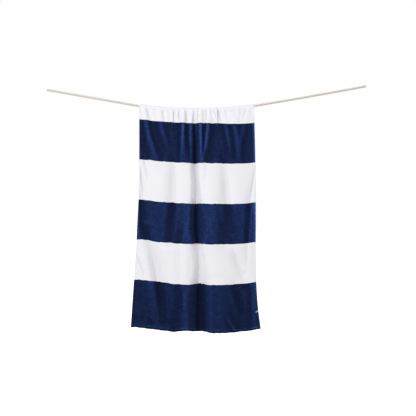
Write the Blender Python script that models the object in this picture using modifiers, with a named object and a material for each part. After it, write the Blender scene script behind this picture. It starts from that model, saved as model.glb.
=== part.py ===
"""A striped beach towel hung over a three-strand rope line.

Metres. +X runs along the line to the viewer's right, +Z is up and -Y faces the viewer.
The origin is the centre of the line's left cut end, which is tied to whatever holds it.
"""

import math
from typing import NamedTuple

import bmesh
import bpy
import numpy as np
from mathutils import Matrix, Vector

# ---------------------------------------------------------------- driving dimensions

ROPE_DIAMETER = 0.017
ROPE_LAY = 0.057  # length in which a strand goes once round
ROPE_STRANDS = 3
ROPE_STATION = 0.0068  # distance between rings
STRAND_SHOULDER = math.radians(27)  # half the angle of a strand's flat top
STRAND_VALLEY = 0.66  # radius at the groove between strands, as a share of the full radius

# The rope's route, by hand: along the line, and height.
ROPE_ROUTE = (
    (0.000, 0.0000),
    (0.150, -0.0262),
    (0.300, -0.0524),
    (0.450, -0.0786),
    (0.600, -0.1046),
    (0.700, -0.1180),
    (0.800, -0.1270),
    (0.900, -0.1318),
    (0.984, -0.1330),
    (1.080, -0.1313),
    (1.180, -0.1260),
    (1.270, -0.1176),
    (1.365, -0.1053),
    (1.500, -0.0828),
    (1.650, -0.0572),
    (1.800, -0.0308),
    (1.950, -0.0040),
    (2.102, 0.0237),
)

TOWEL_WIDTH = 0.900  # flat
TOWEL_LENGTH = 1.695
TOWEL_CENTRE = 0.986  # place of its middle along the line
CLOTH_THICKNESS = 0.003
HEM_THICKNESS = 0.005
HEM_HEIGHT = 0.017
CLOTH_GAP = 0.0003  # between cloth and rope, and between cloth and tab

END_STRIPE = 0.317  # at both ends
INNER_STRIPE = 0.266  # the four between them
INNER_STRIPES = 4
TOP_WHITE_LEFT = 0.106  # how much of the back end's stripe hangs in front, at the left edge
TOP_WHITE_RIGHT = 0.131  # the towel hangs a little askew

TAB_SIZE = (0.018, 0.0012, 0.0065)
TAB_HEIGHT = 0.120  # its middle, above the front hem
TAB_INSET = 0.012  # its middle, from the right edge
TAB_TILT = math.radians(28)  # its right end is the higher
TAB_EDGE = 0.0003

CREST_STEPS = 8  # facets round the top of the rope
CREST_RADIUS = (ROPE_DIAMETER / 2 + CLOTH_GAP + CLOTH_THICKNESS / 2) / math.cos(
    math.pi / (2 * CREST_STEPS)
)
CREST_REACH = CREST_RADIUS * math.pi / 2  # along the cloth, from its top to where it hangs

NAVY = (0.009, 0.019, 0.066)
WHITE = (0.83, 0.83, 0.86)
NATURAL = (0.62, 0.57, 0.46)


# ---------------------------------------------------------------- how the towel hangs
#
# "Drop" is the distance down the front of the cloth from the top of the rope, and is
# negative down the back. "Side" is the distance to the right of the towel's middle.


class Edge(NamedTuple):
    """How far each side edge lies from the middle at one drop."""

    drop: float
    left: float
    right: float


EDGES = (
    Edge(-0.25, 0.380, 0.380),
    Edge(0.00, 0.377, 0.377),
    Edge(0.10, 0.377, 0.380),
    Edge(0.35, 0.377, 0.386),
    Edge(0.60, 0.381, 0.389),
    Edge(0.80, 0.390, 0.390),
    Edge(1.00, 0.401, 0.390),
    Edge(1.20, 0.414, 0.393),
    Edge(1.35, 0.424, 0.402),
    Edge(1.52, 0.435, 0.423),
)


class Fold(NamedTuple):
    """A ridge, or a trough where its height is under 0, that runs through three points."""

    name: str
    side_1: float
    drop_1: float
    height_1: float
    side_2: float
    drop_2: float
    height_2: float
    side_3: float
    drop_3: float
    height_3: float
    left: float  # half width of its left flank
    right: float
    lean: float  # how far its top leans to the right, for each unit of height


FOLDS = (
    # gathers over the rope
    Fold("corner", -0.352, -0.15, 0.006, -0.316, 0.20, 0.010, -0.240, 0.40, 0.001, 0.024, 0.016, 0.2),
    Fold("gather_1", -0.240, -0.16, 0.001, -0.234, 0.13, 0.006, -0.180, 0.30, 0.000, 0.022, 0.014, 0.2),
    Fold("gather_2", -0.163, -0.20, 0.003, -0.1605, 0.06, 0.014, -0.158, 0.14, 0.000, 0.018, 0.006, 0.4),
    Fold("gather_3", -0.126, -0.12, 0.001, -0.1255, 0.05, 0.007, -0.124, 0.12, 0.000, 0.011, 0.006, 0.3),
    Fold("gather_4", -0.084, -0.20, 0.004, -0.092, 0.12, 0.013, -0.100, 0.42, 0.001, 0.014, 0.016, 0.2),
    Fold("gather_5", -0.036, -0.20, 0.003, -0.030, 0.06, 0.007, -0.036, 0.21, 0.000, 0.014, 0.008, 0.2),
    Fold("gather_6", 0.000, -0.10, 0.001, 0.002, 0.05, 0.007, 0.004, 0.12, 0.000, 0.009, 0.006, 0.3),
    Fold("gather_7", 0.030, -0.18, 0.002, 0.026, 0.16, 0.013, 0.038, 0.46, 0.002, 0.014, 0.015, 0.0),
    Fold("gather_8", 0.090, -0.14, 0.004, 0.067, 0.19, 0.012, 0.036, 0.40, 0.002, 0.012, 0.020, 0.0),
    Fold("gather_9", 0.126, -0.20, 0.003, 0.128, 0.07, 0.015, 0.136, 0.15, 0.000, 0.022, 0.008, 0.4),
    Fold("gather_10", 0.268, -0.14, 0.001, 0.268, 0.04, 0.003, 0.266, 0.11, 0.000, 0.012, 0.008, 0.2),
    Fold("gather_11", 0.338, -0.14, 0.001, 0.338, 0.04, 0.003, 0.335, 0.11, 0.000, 0.014, 0.010, 0.2),
    Fold("right_upper_1", 0.174, 0.06, 0.000, 0.206, 0.21, 0.006, 0.226, 0.34, 0.000, 0.016, 0.018, 0.0),
    Fold("right_upper_2", 0.235, 0.05, 0.001, 0.259, 0.20, 0.011, 0.278, 0.40, 0.001, 0.024, 0.022, 0.0),
    Fold("right_upper_3", 0.322, 0.06, 0.000, 0.292, 0.21, 0.005, 0.274, 0.38, 0.000, 0.020, 0.020, 0.0),
    # broad folds of the hanging front
    Fold("left_of_tuck", -0.068, 0.04, 0.000, -0.066, 0.20, -0.008, -0.062, 0.42, 0.000, 0.012, 0.020, 0.0),
    Fold("tuck_shoulder", -0.048, 0.14, 0.000, -0.050, 0.27, -0.003, -0.052, 0.44, 0.000, 0.014, 0.014, 0.0),
    Fold("left_edge_trough", -0.376, 0.34, -0.003, -0.366, 0.68, -0.014, -0.358, 1.00, -0.003, 0.018, 0.054, 0.0),
    Fold("left_trough", -0.166, 0.28, 0.000, -0.156, 0.54, -0.026, -0.190, 0.94, -0.004, 0.038, 0.034, 0.0),
    Fold("left_diagonal", -0.350, 0.80, -0.010, -0.269, 1.10, -0.041, -0.225, 1.44, -0.003, 0.031, 0.060, 0.0),
    Fold("left_shoulder", -0.090, 0.40, 0.000, -0.071, 0.80, 0.012, -0.078, 1.52, 0.013, 0.044, 0.034, 0.0),
    Fold("right_swell", 0.085, 0.36, 0.002, 0.098, 0.74, 0.020, 0.116, 1.12, 0.003, 0.052, 0.056, 0.0),
    Fold("lower_swell", 0.128, 0.90, 0.000, 0.150, 1.26, 0.013, 0.160, 1.54, 0.013, 0.056, 0.070, 0.0),
    Fold("right_of_tuck", 0.034, 0.98, -0.002, 0.038, 1.28, -0.018, 0.044, 1.54, -0.021, 0.026, 0.038, 0.0),
    Fold("right_trough", 0.160, 0.26, 0.000, 0.192, 0.56, -0.020, 0.212, 0.84, -0.001, 0.032, 0.044, 0.0),
    Fold("right_diagonal", 0.225, 0.92, 0.000, 0.266, 1.06, -0.014, 0.320, 1.24, -0.004, 0.034, 0.034, 0.0),
    Fold("right_hem", 0.225, 1.12, 0.000, 0.266, 1.27, -0.010, 0.298, 1.44, 0.000, 0.030, 0.036, 0.0),
    Fold("right_edge_trough", 0.374, 0.46, 0.000, 0.343, 0.70, -0.010, 0.322, 1.14, -0.004, 0.030, 0.016, 0.0),
    Fold("right_edge_ridge", 0.372, 1.10, 0.000, 0.374, 1.28, 0.007, 0.386, 1.50, 0.004, 0.022, 0.016, 0.0),
)


class TakeUp(NamedTuple):
    """Share of the cloth's length that its small wrinkles take up, at one spot across it."""

    spot: float
    share: float


TAKE_UPS = (
    TakeUp(-0.5, 0.007),
    TakeUp(0.0, 0.002),
    TakeUp(0.2, 0.004),
    TakeUp(0.5, 0.018),
)


class Tuck(NamedTuple):
    """The deep fold down the middle, at one drop."""

    drop: float
    side: float  # where it is deepest
    depth: float
    step: float  # how much nearer to the viewer the cloth right of it lies
    left: float  # width of its left flank
    right: float


TUCKS = (
    Tuck(-0.25, -0.018, 0.000, 0.000, 0.020, 0.020),
    Tuck(0.02, -0.018, 0.000, 0.000, 0.020, 0.020),
    Tuck(0.06, -0.019, 0.010, 0.000, 0.014, 0.012),
    Tuck(0.13, -0.018, 0.021, 0.000, 0.022, 0.026),
    Tuck(0.21, -0.014, 0.033, 0.001, 0.034, 0.034),
    Tuck(0.29, -0.012, 0.044, 0.002, 0.046, 0.036),
    Tuck(0.42, -0.009, 0.056, 0.003, 0.038, 0.030),
    Tuck(0.55, -0.001, 0.058, 0.004, 0.042, 0.030),
    Tuck(0.68, -0.006, 0.060, 0.005, 0.044, 0.062),
    Tuck(0.80, -0.007, 0.060, 0.006, 0.048, 0.076),
    Tuck(0.95, 0.010, 0.048, 0.008, 0.046, 0.046),
    Tuck(1.09, 0.014, 0.050, 0.009, 0.042, 0.068),
    Tuck(1.22, 0.009, 0.056, 0.010, 0.066, 0.080),
    Tuck(1.40, 0.008, 0.052, 0.010, 0.072, 0.090),
    Tuck(1.52, 0.006, 0.044, 0.010, 0.068, 0.090),
)
TUCK_ROUNDING = 0.010
TUCK_STEP_RISE = 0.10  # it comes nearer over this width
TUCK_STEP_REACH = 0.17  # how far to the right the nearer cloth falls back

HEM_LIFT = 0.013  # the front hem rises on the middle fold's left flank
HEM_LIFT_SIDE = -0.060
HEM_LIFT_LEFT = 0.062
HEM_LIFT_RIGHT = 0.032
HEM_LIFT_DROPS = (1.28, 1.44)
PINCH = 0.28  # share of a fold's height that is left where the cloth bears on the rope
PINCH_DROPS = (0.010, 0.040)  # it grows back between these, on both sides
SWELL = 0.022  # how far the middle of the front stands out from the rope
SWELL_DROPS = (0.02, 0.26)  # it comes forward between these
STEEPEST_FALL = 0.8  # least share of its length that a row of cloth falls
SIDE_SAMPLES = 1201
DROP_SAMPLES = 340
ROUTE_SAMPLES = 4000

# ---------------------------------------------------------------- the towel's grid

TOWEL_COLUMNS = 61
COLUMN_MARKS = (-0.5, -0.29, 0.20, 0.5)  # spots across the cloth
COLUMN_SHARES = (0.0, 0.16, 0.84, 1.0)  # of the columns, left of each mark
END_ROWS = (0.0, HEM_HEIGHT, 0.060, 0.095, 0.130, 0.190, 0.255)  # above the front hem's edge
STRIPE_ROWS = (0.0, 0.25, 0.5, 0.75)  # shares of a stripe's length
BACK_ROWS = (0.75, 0.4)  # shares of the way from the back hem up to the rope


def smooth(value, low, high):
    """0 below low, 1 above high, and an S between them."""
    share = np.clip((value - low) / (high - low), 0.0, 1.0)
    return share * share * (3 - 2 * share)


def curve_through(where, marks, values):
    """A smooth curve through the values at the marks (Catmull-Rom)."""
    marks, values = np.asarray(marks), np.asarray(values, float)
    slopes = np.gradient(values, marks, axis=0)
    at = np.clip(np.searchsorted(marks, where) - 1, 0, len(marks) - 2)
    gap = marks[at + 1] - marks[at]
    s = np.clip((where - marks[at]) / gap, 0.0, 1.0)
    if values.ndim == 2 and np.ndim(s):
        gap, s = gap[:, None], s[:, None]
    start = (2 * s**3 - 3 * s**2 + 1) * values[at] + (s**3 - 2 * s**2 + s) * gap * slopes[at]
    end = (3 * s**2 - 2 * s**3) * values[at + 1] + (s**3 - s**2) * gap * slopes[at + 1]
    return start + end


def fold_height(fold, sides, drop):
    """Height of one fold along a row of the cloth."""
    drops = (fold.drop_1, fold.drop_2, fold.drop_3)
    if not drops[0] < drop < drops[2]:
        return np.zeros_like(sides)
    path = curve_through(drop, drops, (fold.side_1, fold.side_2, fold.side_3))
    if drop < fold.drop_2:
        height = fold.height_1 + (fold.height_2 - fold.height_1) * smooth(drop, *drops[:2])
    else:
        height = fold.height_2 + (fold.height_3 - fold.height_2) * smooth(drop, *drops[1:])
    away = sides - path
    return height * np.exp(-((away / np.where(away < 0, fold.left, fold.right)) ** 2))


def tuck_shape(sides, drop):
    """How far the middle fold brings a row of the cloth forward. Its flanks meet at a crease."""
    drops = [tuck.drop for tuck in TUCKS]
    sizes = curve_through(drop, drops, [tuck[1:] for tuck in TUCKS])
    lowest, depth, step, left, right = np.maximum(sizes, (-1.0, 0.0, 0.0, 0.0, 0.0))
    away = sides - lowest
    rounded = np.hypot(away, TUCK_ROUNDING) - TUCK_ROUNDING
    up_flank = np.clip(rounded / np.where(away < 0, left, right), 0, 1)
    rise = step * smooth(away, 0, TUCK_STEP_RISE)
    rise *= np.exp(-((np.maximum(away - TUCK_STEP_RISE, 0) / TUCK_STEP_REACH) ** 2))
    return rise - depth * (1 - up_flank) ** 2


def row_shape(drop, spots):
    """(side, forward) of the cloth at this drop, for spots across it from -0.5 to 0.5."""
    edge = curve_through(drop, [edge.drop for edge in EDGES], [edge[1:] for edge in EDGES])
    sides = np.linspace(-edge[0], edge[1], SIDE_SAMPLES)
    forward = SWELL * smooth(drop, *SWELL_DROPS) * (1 - (np.abs(sides) / edge.max()) ** 4)
    across = sides.copy()
    free = PINCH + (1 - PINCH) * smooth(abs(drop), *PINCH_DROPS)
    for fold in FOLDS:
        height = fold_height(fold, sides, drop) * free
        forward += height
        across += fold.lean * height
    forward += tuck_shape(sides, drop)
    along = np.concatenate([[0.0], np.cumsum(np.hypot(np.diff(across), np.diff(forward)))])
    wanted = (spots + 0.5) * along[-1]
    return np.interp(wanted, along, across), np.interp(wanted, along, forward)


def front_length(spots):
    """From the front hem to the top of the rope, at these spots across the cloth."""
    top_white = TOP_WHITE_LEFT + (TOP_WHITE_RIGHT - TOP_WHITE_LEFT) * smooth(spots, 0, 0.5)
    return top_white + INNER_STRIPES * INNER_STRIPE + END_STRIPE


def smooth_route(points, spacing):
    """(distances, points) along a smooth curve through the given points, a spacing apart."""
    points = np.array(points)
    marks = np.concatenate([[0.0], np.cumsum(np.hypot(*np.diff(points, axis=0).T))])
    fine = curve_through(np.linspace(0, marks[-1], ROUTE_SAMPLES), marks, points)
    along = np.concatenate([[0.0], np.cumsum(np.hypot(*np.diff(fine, axis=0).T))])
    stations = np.linspace(0, along[-1], round(along[-1] / spacing) + 1)
    return stations, np.stack([np.interp(stations, along, axis) for axis in fine.T], axis=1)


def towel_points(spots, drops):
    """World places of the cloth's middle surface, for each row and column."""
    levels = np.linspace(drops.min(), drops.max(), DROP_SAMPLES)
    shapes = np.array([row_shape(level, spots) for level in levels])
    side, forward = (
        np.stack([np.interp(drops[:, j], levels, shapes[:, k, j]) for j in range(len(spots))], axis=1)
        for k in range(2)
    )
    _, route = smooth_route(ROPE_ROUTE, ROPE_STATION)
    crest = np.argmin(np.abs(drops[:, 0]))
    hung_at = TOWEL_CENTRE + side[crest]
    axis_z = np.interp(hung_at, route[:, 0], route[:, 1])
    tilt = np.arctan(np.interp(hung_at, route[:, 0], np.gradient(route[:, 1], route[:, 0])))
    round_rope = np.clip(drops / CREST_RADIUS, -math.pi / 2, math.pi / 2)
    out = CREST_RADIUS + forward
    x = TOWEL_CENTRE + side - np.sin(tilt) * out * np.cos(round_rope)
    y = -out * np.sin(round_rope)
    z = axis_z + out * np.cos(round_rope) * np.cos(tilt)
    hangs = 1 - curve_through(spots, [t.spot for t in TAKE_UPS], [t.share for t in TAKE_UPS])
    on_rope = np.flatnonzero(np.abs(drops[:, 0]) <= CREST_REACH * 1.001)
    for step, first, last in ((-1, on_rope[0] - 1, -1), (1, on_rope[-1] + 1, len(drops))):
        for i in range(first, last, step):
            run = np.abs(drops[i] - drops[i - step]) * hangs
            swing = (x[i] - x[i - step]) ** 2 + (y[i] - y[i - step]) ** 2
            fall = np.maximum(run**2 - swing, (STEEPEST_FALL * run) ** 2)
            z[i] = z[i - step] - np.sqrt(fall)
    from_lift = side - HEM_LIFT_SIDE
    from_lift = from_lift / np.where(from_lift < 0, HEM_LIFT_LEFT, HEM_LIFT_RIGHT)
    z += HEM_LIFT * np.exp(-(from_lift**2)) * smooth(drops, *HEM_LIFT_DROPS)
    return np.stack([x, y, z], axis=-1)


# ---------------------------------------------------------------- building


def clear_scene():
    for obj in list(bpy.data.objects):
        bpy.data.objects.remove(obj, do_unlink=True)


def new_collection(name):
    made = bpy.data.collections.new(name)
    bpy.context.scene.collection.children.link(made)
    return made


def new_material(name, colour, roughness):
    made = bpy.data.materials.new(name)
    made.use_nodes = True
    shader = made.node_tree.nodes["Principled BSDF"]
    shader.inputs["Base Color"].default_value = (*colour, 1.0)
    shader.inputs["Roughness"].default_value = roughness
    shader.inputs["Metallic"].default_value = 0.0
    made.diffuse_color = (*colour, 1.0)
    return made


def build_strand_section(guides):
    """The rope's cross-section as a closed curve: a flat-topped lobe for each strand."""
    radius = ROPE_DIAMETER / 2
    corners = []
    for strand in range(ROPE_STRANDS):
        middle = strand * 2 * math.pi / ROPE_STRANDS
        corners.append((middle - math.pi / ROPE_STRANDS, radius * STRAND_VALLEY))
        corners.append((middle - STRAND_SHOULDER, radius))
        corners.append((middle + STRAND_SHOULDER, radius))
    data = bpy.data.curves.new("rope_section", "CURVE")
    data.dimensions = "2D"
    data.fill_mode = "NONE"
    outline = data.splines.new("POLY")
    outline.points.add(len(corners) - 1)
    for point, (angle, reach) in zip(outline.points, reversed(corners)):
        point.co = (reach * math.cos(angle), reach * math.sin(angle), 0, 1)
    outline.use_cyclic_u = True
    section = bpy.data.objects.new("rope_section", data)
    section.hide_render = True
    section.display_type = "WIRE"
    guides.objects.link(section)
    return section


def build_rope(parts, guides, finish):
    """The line: the section of its strands, turned once in each lay."""
    data = bpy.data.curves.new("rope", "CURVE")
    data.dimensions = "3D"
    data.twist_mode = "Z_UP"
    data.bevel_mode = "OBJECT"
    data.bevel_object = build_strand_section(guides)
    data.use_fill_caps = True
    stations, route = smooth_route(ROPE_ROUTE, ROPE_STATION)
    line = data.splines.new("POLY")
    line.points.add(len(stations) - 1)
    for point, along, (x, z) in zip(line.points, stations, route):
        point.co = (x, 0, z, 1)
        point.tilt = 2 * math.pi * along / ROPE_LAY
    data.materials.append(finish)
    parts.objects.link(bpy.data.objects.new("rope", data))


def towel_columns():
    """Spots across the cloth from -0.5 to 0.5, closer together in the gathered middle."""
    return np.interp(np.linspace(0, 1, TOWEL_COLUMNS), COLUMN_SHARES, COLUMN_MARKS)


def towel_rows(spots):
    """(drops of each row and column from front hem to back hem, first row of each stripe)."""
    front = front_length(spots)
    rows = [front - height for height in END_ROWS]
    borders = [len(rows)]
    for stripe in range(INNER_STRIPES):
        start = END_STRIPE + stripe * INNER_STRIPE
        rows += [front - start - share * INNER_STRIPE for share in STRIPE_ROWS]
        borders.append(len(rows))
    top_border = front - END_STRIPE - INNER_STRIPES * INNER_STRIPE
    for share in STRIPE_ROWS:
        rows.append(top_border + (CREST_REACH - top_border) * share)
    for share in np.linspace(1, -1, CREST_STEPS + 1):
        rows.append(np.full_like(spots, CREST_REACH * share))
    back = TOWEL_LENGTH - front
    for share in BACK_ROWS:
        rows.append(-back - (CREST_REACH - back) * share)
    rows += [-back + HEM_HEIGHT, -back]
    return np.array(rows), borders


def build_towel(parts, finishes):
    """One sheet: a grid carried to its hanging shape and thickened, most at its hems."""
    spots = towel_columns()
    drops, borders = towel_rows(spots)
    points = towel_points(spots, drops)
    rows, columns = drops.shape
    sheet = bmesh.new()
    bmesh.ops.create_grid(sheet, x_segments=columns - 1, y_segments=rows - 1, size=0.5)
    place = {}
    for vert in sheet.verts:
        place[vert] = (round((vert.co.y + 0.5) * (rows - 1)), round((vert.co.x + 0.5) * (columns - 1)))
    for face in sheet.faces:
        row = min(place[vert][0] for vert in face.verts)
        face.material_index = int(np.searchsorted(borders, row, side="right")) % 2
        face.smooth = True
    sheet.verts.index_update()
    in_hem = [vert.index for vert in sheet.verts if not 1 < place[vert][0] < rows - 2]
    for vert in sheet.verts:
        vert.co = Vector(points[place[vert]])
    mesh = bpy.data.meshes.new("towel")
    sheet.to_mesh(mesh)
    sheet.free()
    for finish in finishes:
        mesh.materials.append(finish)
    towel = bpy.data.objects.new("towel", mesh)
    towel.vertex_groups.new(name="hem").add(in_hem, 1.0, "REPLACE")
    thick = towel.modifiers.new("cloth", "SOLIDIFY")
    thick.thickness = HEM_THICKNESS
    thick.offset = 0
    thick.use_even_offset = True
    thick.vertex_group = "hem"
    thick.thickness_vertex_group = CLOTH_THICKNESS / HEM_THICKNESS
    parts.objects.link(towel)


def build_side_tab(parts, finish):
    """A folded ribbon sewn flat on the front, at the right edge above the hem."""
    columns = towel_columns()
    drops, _ = towel_rows(columns)
    points = towel_points(columns, drops)
    above_hem = front_length(columns[-1]) - drops[:, -1]
    low = np.searchsorted(above_hem, TAB_HEIGHT) - 1
    corners = points[low : low + 2, -2:].reshape(4, 3)
    across = Vector(corners[1] - corners[0] + corners[3] - corners[2]).normalized()
    up = Vector(corners[2] - corners[0] + corners[3] - corners[1])
    front = across.cross(up).normalized()
    across = Matrix.Rotation(-TAB_TILT, 3, -front) @ across
    up = front.cross(across)
    spot = 0.5 - TAB_INSET / TOWEL_WIDTH
    share_x = (spot - columns[-2]) / (columns[-1] - columns[-2])
    share_z = (TAB_HEIGHT - above_hem[low]) / (above_hem[low + 1] - above_hem[low])
    weights = np.outer([1 - share_z, share_z], [1 - share_x, share_x]).reshape(4)
    middle = Vector(weights @ corners)
    proud = max(abs(front.dot(Vector(corner) - middle)) for corner in corners)
    middle += front * (proud + CLOTH_THICKNESS / 2 + CLOTH_GAP + TAB_SIZE[1] / 2)
    bpy.ops.mesh.primitive_cube_add(size=1)
    tab = bpy.context.object
    tab.name = tab.data.name = "side_tab"
    tab.data.transform(Matrix.Diagonal((*TAB_SIZE, 1)))
    turn = Matrix((across, -front, up)).transposed()
    tab.matrix_world = Matrix.Translation(middle) @ turn.to_4x4()
    edge = tab.modifiers.new("soft edges", "BEVEL")
    edge.width = TAB_EDGE
    edge.segments = 1
    tab.data.materials.append(finish)
    for holder in list(tab.users_collection):
        holder.objects.unlink(tab)
    parts.objects.link(tab)


def main():
    clear_scene()
    parts = new_collection("beach towel on a rope line")
    guides = new_collection("guides")
    navy = new_material("navy towelling", NAVY, 0.9)
    white = new_material("white towelling", WHITE, 0.9)
    natural = new_material("natural rope", NATURAL, 0.85)
    build_rope(parts, guides, natural)
    build_towel(parts, (navy, white))
    build_side_tab(parts, white)


main()
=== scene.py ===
"""The looks of a striped beach towel hung over a three-strand rope line.

Metres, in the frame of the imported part: +X runs along the line to the viewer's right, +Z is up
and -Y faces the viewer. The origin is the centre of the line's left cut end.
"""

import math
from typing import NamedTuple

import bpy
import numpy as np
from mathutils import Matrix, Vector


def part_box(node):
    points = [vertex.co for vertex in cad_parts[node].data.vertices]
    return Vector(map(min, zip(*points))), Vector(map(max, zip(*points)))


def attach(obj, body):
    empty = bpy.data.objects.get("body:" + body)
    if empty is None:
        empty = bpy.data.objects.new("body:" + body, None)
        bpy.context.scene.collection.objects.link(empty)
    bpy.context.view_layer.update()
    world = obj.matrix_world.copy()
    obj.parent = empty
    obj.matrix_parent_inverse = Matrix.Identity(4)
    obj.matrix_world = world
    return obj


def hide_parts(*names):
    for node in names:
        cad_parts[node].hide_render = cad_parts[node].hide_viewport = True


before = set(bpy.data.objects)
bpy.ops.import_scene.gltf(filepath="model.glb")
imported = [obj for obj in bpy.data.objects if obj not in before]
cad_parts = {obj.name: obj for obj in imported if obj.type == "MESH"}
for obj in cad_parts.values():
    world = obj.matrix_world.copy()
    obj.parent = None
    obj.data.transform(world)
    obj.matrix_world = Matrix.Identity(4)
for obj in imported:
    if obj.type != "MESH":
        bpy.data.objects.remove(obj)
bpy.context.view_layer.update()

# ---- camera

PHOTO_SIZE = 416  # pixels, both ways
PHOTO_SCALE = 0.00659  # metres a pixel in the towel's plane
CAMERA_DISTANCE = 4.5
CAMERA_PLACE = (1.0610, -CAMERA_DISTANCE, -0.7789)
SENSOR = 36.0  # millimetres


def add_camera():
    """It looks straight at the towel, level."""
    data = bpy.data.cameras.new("camera")
    data.sensor_width = SENSOR
    data.lens = SENSOR * CAMERA_DISTANCE / (PHOTO_SIZE * PHOTO_SCALE)
    camera = bpy.data.objects.new("camera", data)
    camera.location = CAMERA_PLACE
    camera.rotation_euler = (math.pi / 2, 0, 0)
    bpy.context.scene.collection.objects.link(camera)
    bpy.context.scene.camera = camera


# ---- sizes

ROPE_DIAMETER = 0.017
ROPE_LAY = 0.057  # length in which a strand goes once round
ROPE_STRANDS = 3
ROPE_STEP = 0.0021  # between rings of points
ROPE_AROUND = 72  # points in a ring
STRAND_OFFSET = 0.0041  # of a strand's centre from the rope's
STRAND_RADIUS = ROPE_DIAMETER / 2 - STRAND_OFFSET
ROPE_YARNS = 33  # that show round the rope
ROPE_UNEVEN = 0.012  # swelling of the strands, as a share of the rope's radius
ROPE_UNEVEN_RATE = 71.0  # radians a metre
CUT_RINGS = (0.96, 0.88, 0.78, 0.66, 0.52, 0.36, 0.18)  # shares of a cut end's radius
CUT_GROOVE = 0.72  # share of a strand's radius from which its cut end gets painted shade between the strands
ROUTE_SAMPLES = 4000

# The rope's route: along the line, and height.
ROPE_ROUTE = (
    ((0.000, 0.0000), (0.150, -0.0262), (0.300, -0.0524), (0.450, -0.0786), (0.600, -0.1046))
    + ((0.700, -0.1180), (0.800, -0.1270), (0.900, -0.1318), (0.984, -0.1330))
    + ((1.080, -0.1313), (1.180, -0.1260), (1.270, -0.1176), (1.365, -0.1053))
    + ((1.500, -0.0828), (1.650, -0.0572), (1.800, -0.0308), (1.950, -0.0040), (2.102, 0.0237))
)

TOWEL_WIDTH = 0.900  # flat
TOWEL_LENGTH = 1.695
TOWEL_CENTRE = 0.986  # place of its middle along the line
CLOTH_THICKNESS = 0.003
CLOTH_GAP = 0.0003  # between it and the rope
HEM_THICKNESS = 0.0050  # of the hems at both ends
HEM_HEIGHT = 0.017
SIDE_HEM_THICKNESS = 0.0046
SIDE_HEM_WIDTH = 0.010
HEM_STEP = 0.0015  # in which a hem falls to the cloth's thickness
END_STRIPE = 0.317  # at the front end; the one at the back end takes what is left
INNER_STRIPE = 0.266  # each of those between them
INNER_STRIPES = 4
TOP_WHITE_LEFT = 0.106  # how much of the back end's stripe hangs in front, left of the middle
TOP_WHITE_RIGHT = 0.131  # and at the right edge

STITCH_PITCH = 0.0030
STITCH_LENGTH = 0.0024
STITCH_RADIUS = 0.00032
STITCH_RINGS = ((0.0, 0.35), (0.2, 1.0), (0.8, 1.0), (1.0, 0.35))  # shares: length, radius
STITCH_CORNERS = 5
STITCH_PROUD = 0.3  # share of its radius by which its middle stands out
STITCH_INSET = 0.0026  # from a hem's inner edge
SEAM_DEPTH = 0.0004  # that the stitches pull in each side of a hem
SEAM_WIDTH = 0.0008

# Lines of the towel's grid of points.
ROUNDING_SHARES = (0, 0.12, 0.45, 1.0)  # round an edge, in halves of its thickness
ROUNDING_LINES = 3  # of those that a side seam leaves out at its ends
SEAM_LEAD = 0.55  # one between edge and seam, as a share of the way
SEAM_SIDE = 0.0012  # from a seam to the lines beside it
SEAM_LINE = 6  # the seam itself, counted from the edge
GATHERED_SPOTS = (-0.29, 0.20)  # columns are closest between these
COLUMN_STEPS = (0.0055, 0.0034, 0.0055)  # before, between and after them
ROW_STEP = 0.0105  # in the stripes that hang wholly in front
TOP_ROWS = 30  # from there to the rope, counting both ends
CREST_ROWS = 17  # round the rope
BACK_ROWS = 20  # down the back

TAB_LENGTH = 0.018
TAB_HEIGHT = 0.0065
TAB_TILT = math.radians(28)
TAB_CLEAR = 0.0001  # between the tab and the pile
TAB_SEAM = 0.0022  # from an end of the tab
TAB_SEAM_REACH = 0.48  # share of the tab's height, up and down from its middle
RIBBON_THICKNESS = 0.0005  # the tab is a ribbon folded over on itself
RIBBON_BEND = 0.75  # radius of the fold, as a share of that
RIBBON_ALONG = 12  # points along each run
RIBBON_ROUND = 9  # round the fold
RIBBON_ACROSS = 15  # between the selvedges
RIBBON_SELVEDGE = (0.93, 0.985)  # shares of the half width between which it is thickest
RIBBON_MIDDLE = 0.8  # share of its thickness between the selvedges
RIBBON_RIM = 0.25  # and at the very edge

PAINTED_LIGHT_BEND = 250.0  # bend in 1/metres at which a ridge's painted highlight and a trough's painted shade are full
BEND_PASSES = 2  # of smoothing along each way of the cloth
EDGE_HIGHLIGHT = 0.8  # painted highlight along the turned right edge
EDGE_HIGHLIGHT_REACH = 0.013
SEAM_HIGHLIGHT = 0.2  # painted highlight along the stitched edge of an end hem
SEAM_HIGHLIGHT_REACH = 0.004
HOLLOW_REACH = 0.035  # to both sides, over which a fold is set against the cloth around it, for its painted shade
HOLLOW_DEPTH = 0.035  # of a fold that gets the full painted shade

CREST_RADIUS = ROPE_DIAMETER / 2 + CLOTH_GAP + CLOTH_THICKNESS / 2
CREST_REACH = CREST_RADIUS * math.pi / 2  # along the cloth, from its top to where it hangs
CREST_ROUNDING = 1.001  # lets the crest's last row count as on the rope
LEAST_FALL = 0.8  # share of the cloth's length by which each row falls at least

# ---- how the towel hangs
#
# "Drop" is the distance down the front of the cloth from the top of the rope, and is
# negative down the back. "Side" is the distance to the right of the towel's middle.

# Drop, and how far the left and right edges lie from the middle there.
EDGES = (
    (-0.25, 0.380, 0.380),
    (0.00, 0.377, 0.377),
    (0.10, 0.377, 0.380),
    (0.35, 0.377, 0.386),
    (0.60, 0.381, 0.389),
    (0.80, 0.390, 0.390),
    (1.00, 0.401, 0.390),
    (1.20, 0.414, 0.393),
    (1.35, 0.424, 0.402),
    (1.52, 0.435, 0.423),
)


class Fold(NamedTuple):
    """A ridge, or a trough where its height is under 0, that runs through three points."""

    side_1: float
    drop_1: float
    height_1: float
    side_2: float
    drop_2: float
    height_2: float
    side_3: float
    drop_3: float
    height_3: float
    left: float  # half width of its left flank
    right: float
    lean: float = 0.0  # how far its top leans to the right, for each unit of height


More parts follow.
